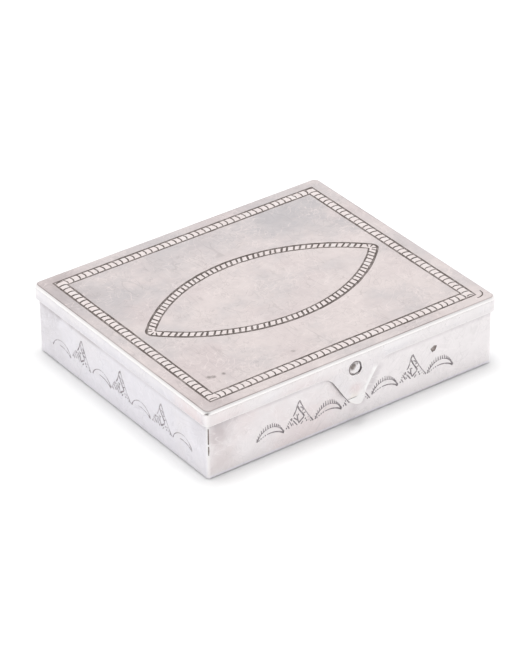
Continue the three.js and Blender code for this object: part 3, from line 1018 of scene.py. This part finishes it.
class CASE_OT_lid_plate(CaseStep, bpy.types.Operator):
    """Model the lid's top sheet with its chased border and marquise"""
    bl_idname = "case.lid_plate"
    bl_label = "Lid plate"

    def execute(self, context):
        sizes, ornament, hand = workbench(context)
        lid = rounded_block("lid_plate_chased", LID_LOW, LID_HIGH, sizes.lid_corner, CORNER_STEPS)
        round_edges(lid, at_height(LID_TOP), LID_TOP - LID_LOW.z - sizes.seam, 8)
        round_edges(lid, at_height(LID_LOW.z), sizes.seam, 1)
        paint(lid, MATERIALS["lid"], MATERIALS["groove"], MATERIALS["pads"], MATERIALS["inside"])
        top = face_frame((1, 0, 0), (0, 1, 0), (0, 0, LID_TOP))
        lines = [border_lines(ornament, hand, BORDER_CENTRE, inset) for inset in (0, ornament.border_band)]
        for inset in (0, ornament.marquise_band):
            lines.append(marquise_line(ornament, hand, MARQUISE_CENTRE, inset))
        cut_strokes(lid, lines, top, ornament.line_width, ornament.line_depth)
        rungs = border_rungs(ornament, hand, BORDER_CENTRE) + marquise_rungs(ornament, hand, MARQUISE_CENTRE)
        cut_strokes(lid, rungs, top, ornament.rung_width, ornament.line_depth)
        marks = [stroke([Vector(p) * MM for p in CORNER_SCRATCH], [0.6, 0.85, 0.9, 0.8, 0.6])]
        cut_strokes(lid, marks, top, ornament.rung_width, ornament.line_depth)
        corner_dash(lid, sizes)
        apply_modifier(lid, "TRIANGULATE", ngon_method="CLIP")
        repaint_faces(lid, lambda f: -0.95 < f.normal.z < -0.3, CUT)
        repaint_faces(lid, lambda f: is_pad(f, ornament), ACCENT)
        repaint_faces(lid, lambda f: f.normal.z < -SQUARE, EXTRA)
        smooth(lid)
        seat(lid, "lid", "silver_sheet", "lid_plate")
        return {"FINISHED"}


def corner_dash(lid, sizes):
    """A short open place in the seam at the lid's front left corner."""
    out = Vector((-1, -1, 0)).normalized()
    centre = Vector((sizes.lid_corner - LID_X, sizes.lid_corner - LID_Y, LID_LOW.z))
    corner = face_frame((-out.y, out.x, 0), (0, 0, 1), centre + out * sizes.lid_corner)
    dash = stroke([(-0.55 * MM, 0.26 * MM), (0, 0.3 * MM), (0.55 * MM, 0.26 * MM)], [0.7, 1, 0.7])
    cut_strokes(lid, [dash], corner, *DASH_CUT)


def is_pad(face, ornament):
    """True for a face of the lid's top that lies between two chased lines."""
    if face.material_index != FACE or face.normal.z < SQUARE or face.center.z < LID_TOP - 1e-5:
        return False
    spot = face.center.xy - BORDER_CENTRE
    inset = min(ornament.border_x - abs(spot.x), ornament.border_y - abs(spot.y))
    if 0 < inset < ornament.border_band:
        return True
    outer, drop = marquise_arc(ornament, 0)[:2]
    spot = face.center.xy - MARQUISE_CENTRE
    reach = Vector((spot.x, abs(spot.y) + drop)).length
    return 0 < outer - reach < ornament.marquise_band


class CASE_OT_lid_rims(CaseStep, bpy.types.Operator):
    """Model the lid's right, rear and left rims"""
    bl_idname = "case.lid_rims"
    bl_label = "Lid rims"

    def execute(self, context):
        sizes = workbench(context)[0]
        whole = band("rim_band", LID_X, LID_Y, RIM_LOW.z, RIM_HIGH.z, sizes.rim_sheet, sizes.lid_corner)
        for quarter, side in ((1, "right"), (2, "rear"), (3, "left")):
            rim = mitred_side(whole, f"{side}_rim_rounded", quarter, LID_X, LID_Y)
            round_edges(rim, is_lower_rim_edge, sizes.soft_edge, 3)
            paint(rim, MATERIALS["rim"], MATERIALS["bright_edge"])
            # Painted highlight on the rounding along the rim's lower edge
            repaint_faces(rim, is_soft_rim_edge, CUT)
            smooth(rim)
            seat(rim, "lid", "silver_sheet", f"{side}_rim")
        bpy.data.objects.remove(whole)
        return {"FINISHED"}


def on_mitre(point):
    return abs((LID_X - abs(point.x)) - (LID_Y - abs(point.y))) < 10 * TINY


def is_lower_rim_edge(edge):
    if all(on_mitre(v.co) for v in edge.verts):
        return False
    return at_height(RIM_LOW.z)(edge)


def is_tongue_edge(edge):
    """A sharp edge of the front rim, apart from its top and its mitred ends."""
    if not edge.is_manifold or edge.calc_face_angle() < TONGUE_SHARP:
        return False
    if all(on_mitre(v.co) for v in edge.verts):
        return False
    return not at_height(RIM_HIGH.z)(edge)


# Height of the rim's soft edge, and the drops from it at which the tongue's flanks and its lip begin
SOFT_RISE, FLANK_DROP, LIP_DROP = 0.3 * MM, 0.4 * MM, 4 * MM
# Reach of the edge round the stud's hole, in radii of the stud
HOLE_REACH = 1.4


def is_lip(face):
    """The outer part of the tongue's turned lip, seen from above, which gets a painted highlight."""
    return face.normal.z > 0.45 and face.center.z < RIM_LOW.z - LIP_DROP


def is_hole_wall(face):
    """The rounded edge of the sheet round the stud's hole, painted bright against the shade in the gap."""
    stud_radius = (STUD_HIGH.x - STUD_LOW.x) / 2
    at_hole = math.hypot(face.center.x, face.center.z - STUD_Z) < HOLE_REACH * stud_radius
    return at_hole and abs(face.normal.y) < NEARLY_SQUARE


def is_soft_rim_edge(face):
    """A face of the rounding along a rim's lower edge, which gets a painted highlight."""
    slants = 0.1 < -face.normal.z < 0.95
    return slants and RIM_LOW.z - TINY < face.center.z < RIM_LOW.z + SOFT_RISE


def is_flank(face):
    """A face of the tongue's cut edge."""
    is_cut = abs(face.normal.y) < NEARLY_SQUARE and abs(face.normal.z) < 0.85
    return is_cut and face.center.z < RIM_LOW.z - FLANK_DROP


def is_bright_flank(face):
    """The right flank of the tongue, which gets a painted highlight."""
    return is_flank(face) and face.normal.x > 0.2 and face.normal.y < 0


def is_dark_flank(face):
    """The left flank of the tongue, painted dark as a thin line of shade."""
    return is_flank(face) and face.normal.x < -0.2 and abs(face.normal.y) < 0.75


class CASE_OT_front_rim(CaseStep, bpy.types.Operator):
    """Model the springy front rim: a stiff middle with the tongue, and two ends that bend"""
    bl_idname = "case.front_rim"
    bl_label = "Front rim and tongue"

    def execute(self, context):
        sizes = workbench(context)[0]
        whole = copy_of_node("front_rim_with_tongue", "front_rim_tongue")
        round_edges(whole, is_tongue_edge, sizes.soft_edge, 3, slide=False)
        steps = int((LID_X - sizes.flex_end) / sizes.flex_step)
        paint(whole, MATERIALS["front_rim"], MATERIALS["cut_edge"], MATERIALS["bright_edge"])
        # Painted highlights on the rim's lower edge, the tongue's right flank and lip and the hole's edge;
        # painted shade on the tongue's left flank
        repaint_faces(whole, is_soft_rim_edge, ACCENT)
        repaint_faces(whole, lambda f: is_bright_flank(f) or is_hole_wall(f) or is_lip(f), ACCENT)
        repaint_faces(whole, is_dark_flank, CUT)
        apply_modifier(whole, "TRIANGULATE")
        for side, name in ((-1, "front_rim_left_end"), (1, "front_rim_right_end")):
            end = copy_of(whole, name)
            seam = (side * sizes.flex_end, 0, 0)
            slice_off(end, seam, (-side, 0, 0))
            slice_off(whole, seam, (side, 0, 0))
            join_flat(end)
            score_across(end, [side * (sizes.flex_end + i * sizes.flex_step) for i in range(1, steps)])
            smooth(end)
            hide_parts("front_rim_with_tongue")
            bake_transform(end)
        join_flat(whole)
        smooth(whole, TONGUE_SMOOTH)
        seat(whole, "catch", "silver_sheet", "front_rim_with_tongue")
        return {"FINISHED"}


class CASE_OT_tray_walls(CaseStep, bpy.types.Operator):
    """Model the tray's four walls and strike the stamps into three of them"""
    bl_idname = "case.tray_walls"
    bl_label = "Tray walls"

    def execute(self, context):
        sizes, ornament, hand = workbench(context)
        low, high = WALL_LOW.z, WALL_HIGH.z
        whole = band("wall_band", CASE_X, CASE_Y, low, high, sizes.wall_sheet, sizes.case_corner)
        sides = (
            ("front", (1, 0, 0), (0, -CASE_Y, 0), FRONT_STAMPS, 1.0, "front_groove"),
            ("right", (0, 1, 0), (CASE_X, 0, 0), SIDE_STAMPS, SIDE_FORCE, "side_groove"),
            ("rear", (-1, 0, 0), (0, CASE_Y, 0), (), 1.0, "groove"),
            ("left", (0, -1, 0), (-CASE_X, 0, 0), SIDE_STAMPS, SIDE_FORCE, "side_groove"),
        )
        for quarter, (side, across, middle, stamps, force, groove) in enumerate(sides):
            face = face_frame(across, (0, 0, 1), middle)
            name = f"{side}_wall_stamped" if stamps else f"{side}_wall_plain"
            wall = mitred_side(whole, name, quarter, CASE_X, CASE_Y)
            round_edges(wall, at_height(high), sizes.hinge_edge, 2)
            sheet = "front_wall" if quarter % 2 == 0 else "side_wall"
            paint(wall, MATERIALS[sheet], MATERIALS[groove], MATERIALS["inside"], MATERIALS["groove"])
            repaint_faces(wall, faces_inward, ACCENT)
            if stamps:
                stamp_wall(wall, stamps, face, ornament, hand, force)
            if side == "front":
                cut_strokes(wall, front_pit(), face, *PIT_CUT)
                cut_strokes(wall, CORNER_SEAM, corner_face(sizes), *SEAM_CUT)
                repaint_faces(wall, is_pit, EXTRA)
            smooth(wall)
            seat(wall, "case", "silver_sheet", f"{side}_wall")
        bpy.data.objects.remove(whole)
        return {"FINISHED"}


def faces_inward(face):
    return face.normal.x * face.center.x + face.normal.y * face.center.y < -TINY


# A heart-shaped corrosion pit on the front wall, and the width and depth of its cuts
FRONT_PIT = Vector((25.2, 11.1)) * MM
PIT_CUT = 1.0 * MM, 0.24 * MM
# The open upper part of the solder seam at the tray's front left corner, and its width and depth
SEAM_CUT = 0.34 * MM, 0.15 * MM
CORNER_SEAM = [stroke([Vector(p) * MM for p in points], weights) for points, weights in (
    (((0.0, 14.4), (0.03, 12.6), (0.0, 9.9)), (0.8, 1.2, 1.0)),
    (((0.02, 9.3), (0.03, 8.1), (0.0, 6.7)), (0.9, 1.1, 0.6)),
)]


def corner_face(sizes):
    """Frame of the front part of the tray's rounded front left corner."""
    turn = math.radians(35)
    across = Vector((math.cos(turn), -math.sin(turn), 0))
    out = Vector((-math.sin(turn), -math.cos(turn), 0))
    centre = Vector((sizes.case_corner - CASE_X, sizes.case_corner - CASE_Y, 0))
    return face_frame(across, (0, 0, 1), centre + out * sizes.case_corner)


def is_pit(face):
    """A face of the pit or of the open corner seam."""
    at_pit = (Vector((face.center.x, face.center.z)) - FRONT_PIT).length < 2 * MM
    return face.material_index == CUT and (at_pit or face.center.x < 1 * MM - CASE_X)


def front_pit():
    legs = (((-0.55, 0.5), (-0.25, -0.1), (0.0, -0.8)), ((0.55, 0.8), (0.38, 0.2), (0.08, -0.7)))
    return [stroke([FRONT_PIT + Vector(p) * MM for p in leg], [1.1, 1.1, 0.9]) for leg in legs]


class CASE_OT_tray_floor(CaseStep, bpy.types.Operator):
    """Model the tray's floor sheet"""
    bl_idname = "case.tray_floor"
    bl_label = "Tray floor"

    def execute(self, context):
        sizes = workbench(context)[0]
        floor = rounded_block("floor_plate_rounded", FLOOR_LOW, FLOOR_HIGH, sizes.case_corner, CORNER_STEPS)
        round_edges(floor, at_height(FLOOR_LOW.z), sizes.floor_edge, 5)
        paint(floor, MATERIALS["side_wall"], MATERIALS["groove"], MATERIALS["inside"])
        repaint_faces(floor, lambda f: f.normal.z > 0.9, ACCENT)
        smooth(floor)
        seat(floor, "case", "silver_sheet", "floor_plate")
        return {"FINISHED"}


class CASE_OT_catch_stud(CaseStep, bpy.types.Operator):
    """Model the domed stud of the catch"""
    bl_idname = "case.catch_stud"
    bl_label = "Catch stud"

    def execute(self, context):
        sizes = workbench(context)[0]
        foot = (STUD_HIGH.z - STUD_LOW.z) / 2
        rise = STUD_HIGH.y - STUD_LOW.y
        centre = Vector((0, STUD_LOW.y + sizes.stud_dome, STUD_Z))
        bpy.ops.object.select_all(action="DESELECT")
        bpy.ops.mesh.primitive_uv_sphere_add(
            segments=48, ring_count=33, radius=foot, location=centre, rotation=(math.pi / 2, 0, 0))
        stud = named("catch_stud_domed")
        stud.scale = (1, 1, sizes.stud_dome / foot)
        bpy.ops.object.transform_apply(location=True, rotation=True, scale=True)
        slice_off(stud, centre, (0, 1, 0))
        edit_picked(stud, "FACE", lambda f: f.normal.y > SQUARE, bpy.ops.mesh.extrude_region_move,
                    TRANSFORM_OT_translate={"value": (0, rise - sizes.stud_dome, 0)})
        paint(stud, MATERIALS["stud"])
        smooth(stud)
        seat(stud, "case", "silver_sheet", "catch_stud")
        return {"FINISHED"}


class CASE_OT_hinge(CaseStep, bpy.types.Operator):
    """Model the hinge's bearer, tubes and pin with soft edges"""
    bl_idname = "case.hinge"
    bl_label = "Hinge"

    def execute(self, context):
        sizes = workbench(context)[0]
        pieces = [("hinge_bearer", "case"), ("hinge_pin", "case")]
        pieces += [(f"case_knuckle_{i}", "case") for i in (1, 2, 3)]
        pieces += [(f"lid_knuckle_{i}", "lid") for i in (1, 2)]
        for node, body in pieces:
            obj = copy_of_node(node, f"{node}_soft")
            round_edges(obj, is_sharp, sizes.hinge_edge, 3)
            is_pin = node == "hinge_pin"
            paint(obj, MATERIALS["wire" if is_pin else "tube"])
            smooth(obj)
            seat(obj, body, "pin_wire" if is_pin else "hinge_silver", node)
        return {"FINISHED"}


def is_sharp(edge):
    return edge.is_manifold and edge.calc_face_angle() > HINGE_SHARP


class CASE_OT_stage(CaseStep, bpy.types.Operator):
    """Set up the floor, the studio light and the camera"""
    bl_idname = "case.stage"
    bl_label = "Stage"

    def execute(self, context):
        settings = context.scene.stage_settings
        context.scene.view_settings.view_transform = "Standard"
        make_camera(settings)
        make_floor(settings)
        make_world(context.scene)
        make_lamp(settings)
        return {"FINISHED"}


def make_camera(settings):
    az, el, roll = settings.azimuth, settings.elevation, settings.roll
    back = Vector((math.sin(az) * math.cos(el), -math.cos(az) * math.cos(el), math.sin(el)))
    right = Vector((math.cos(az), math.sin(az), 0))
    up = back.cross(right)
    place = back * settings.distance + right * settings.aside + up * settings.above
    level = Matrix((right, up, back)).transposed()
    data = bpy.data.cameras.new("photo_camera")
    data.lens = settings.lens
    data.sensor_width = SENSOR_WIDTH
    data.clip_start, data.clip_end = 0.01, 20
    camera = bpy.data.objects.new("photo_camera", data)
    camera.matrix_world = Matrix.Translation(place) @ (level @ Matrix.Rotation(roll, 3, "Z")).to_4x4()
    bpy.context.collection.objects.link(camera)
    bpy.context.scene.camera = camera


def make_floor(settings):
    bpy.ops.object.select_all(action="DESELECT")
    bpy.ops.mesh.primitive_plane_add(size=settings.floor_size, location=(0, 0, -settings.floor_gap))
    floor = named("studio_floor")
    material, tree, principled = new_material("white_floor")
    base = tuple(settings.floor_colour)
    place = add_node(tree, "ShaderNodeTexCoord").outputs["Object"]
    cloud = math_node(tree, "MULTIPLY", noise(tree, place, 6, 2, 0.5), 0.02)
    tree.links.new(mix_colour(tree, cloud, base, scaled(base, 0.98)), principled.inputs["Base Color"])
    principled.inputs["Roughness"].default_value = 0.9
    principled.inputs["Specular IOR Level"].default_value = 0.0
    paint(floor, material)


def grey_ramp(tree, value, stops):
    node = add_node(tree, "ShaderNodeValToRGB", {"Fac": value})
    elements = node.color_ramp.elements
    while len(elements) < len(stops):
        elements.new(0.5)
    for element, (place, grey) in zip(elements, stops):
        element.position = place
        element.color = (grey, grey, grey, 1)
    return node.outputs["Color"]


# Brightness of the studio by height, from the horizon at 0 to straight above at 1
STUDIO_GREYS = ((0.0, 1.0), (0.35, 1.0), (0.5, 0.96), (0.6, 0.93), (0.75, 0.76), (1.0, 0.7))
# Direction from the case to the photographer, and the dark tone of that place in the studio
LENS_SIDE = (-0.495, -0.689, 0.528)
LENS_TONE = (0.13, 0.13, 0.13)
# Cosines of the angles from that direction at which the dark place begins and is full
LENS_SPREAD = 0.87, 0.96
LAMP_PLACE = (-0.02, 0.06, 1.2)


def make_world(scene):
    """A white studio with a darker ceiling, and a dark place where the photographer stands."""
    world = bpy.data.worlds.new("white_studio")
    world.use_nodes = True
    tree = world.node_tree
    direction = add_node(tree, "ShaderNodeTexCoord").outputs["Generated"]
    height = add_node(tree, "ShaderNodeSeparateXYZ", {"Vector": direction}).outputs["Z"]
    studio = grey_ramp(tree, height, STUDIO_GREYS)
    facing = vector_math(tree, "DOT_PRODUCT", direction, LENS_SIDE)["Value"]
    share = ramp(tree, facing, *LENS_SPREAD)
    tree.links.new(mix_colour(tree, share, studio, LENS_TONE), tree.nodes["Background"].inputs["Color"])
    scene.world = world


def make_lamp(settings):
    """A soft lamp above the case. Its mirror image is kept off the silver, which it would turn white."""
    data = bpy.data.lights.new("ceiling_box", "AREA")
    data.size = settings.lamp_size
    data.energy = settings.lamp_power
    lamp = bpy.data.objects.new("ceiling_box", data)
    lamp.location = LAMP_PLACE
    lamp.visible_glossy = False
    lamp.rotation_mode = "QUATERNION"
    lamp.rotation_quaternion = Vector(LAMP_PLACE).to_track_quat("Z", "Y")
    bpy.context.collection.objects.link(lamp)


# Panel and registration

STEPS = (
    CASE_OT_lid_plate,
    CASE_OT_lid_rims,
    CASE_OT_front_rim,
    CASE_OT_tray_walls,
    CASE_OT_tray_floor,
    CASE_OT_catch_stud,
    CASE_OT_hinge,
    CASE_OT_stage,
)


class CASE_PT_panel(bpy.types.Panel):
    """Sizes, colours and building steps of the case"""
    bl_idname = "CASE_PT_panel"
    bl_label = "Cigarette case"
    bl_space_type = "VIEW_3D"
    bl_region_type = "UI"
    bl_category = "Case"

    def draw(self, context):
        for group in GROUPS:
            box = self.layout.box()
            settings = getattr(context.scene, group)
            for key in settings.__annotations__:
                box.prop(settings, key)
        for step in STEPS:
            self.layout.operator(step.bl_idname)


GROUPS = {
    "case_sizes": CaseSizes,
    "ornament_sizes": OrnamentSizes,
    "silver_colours": SilverColours,
    "stage_settings": StageSettings,
}
CLASSES = (*GROUPS.values(), *STEPS, CASE_PT_panel)


def register():
    for cls in CLASSES:
        bpy.utils.register_class(cls)
    for name, cls in GROUPS.items():
        setattr(bpy.types.Scene, name, PointerProperty(type=cls))


def unregister():
    for name in GROUPS:
        delattr(bpy.types.Scene, name)
    for cls in reversed(CLASSES):
        bpy.utils.unregister_class(cls)


def main():
    register()
    for step in STEPS:
        kind, name = step.bl_idname.split(".")
        if getattr(getattr(bpy.ops, kind), name)() != {"FINISHED"}:
            raise RuntimeError(f"{step.bl_label} did not finish")


if __name__ == "__main__":
    main()
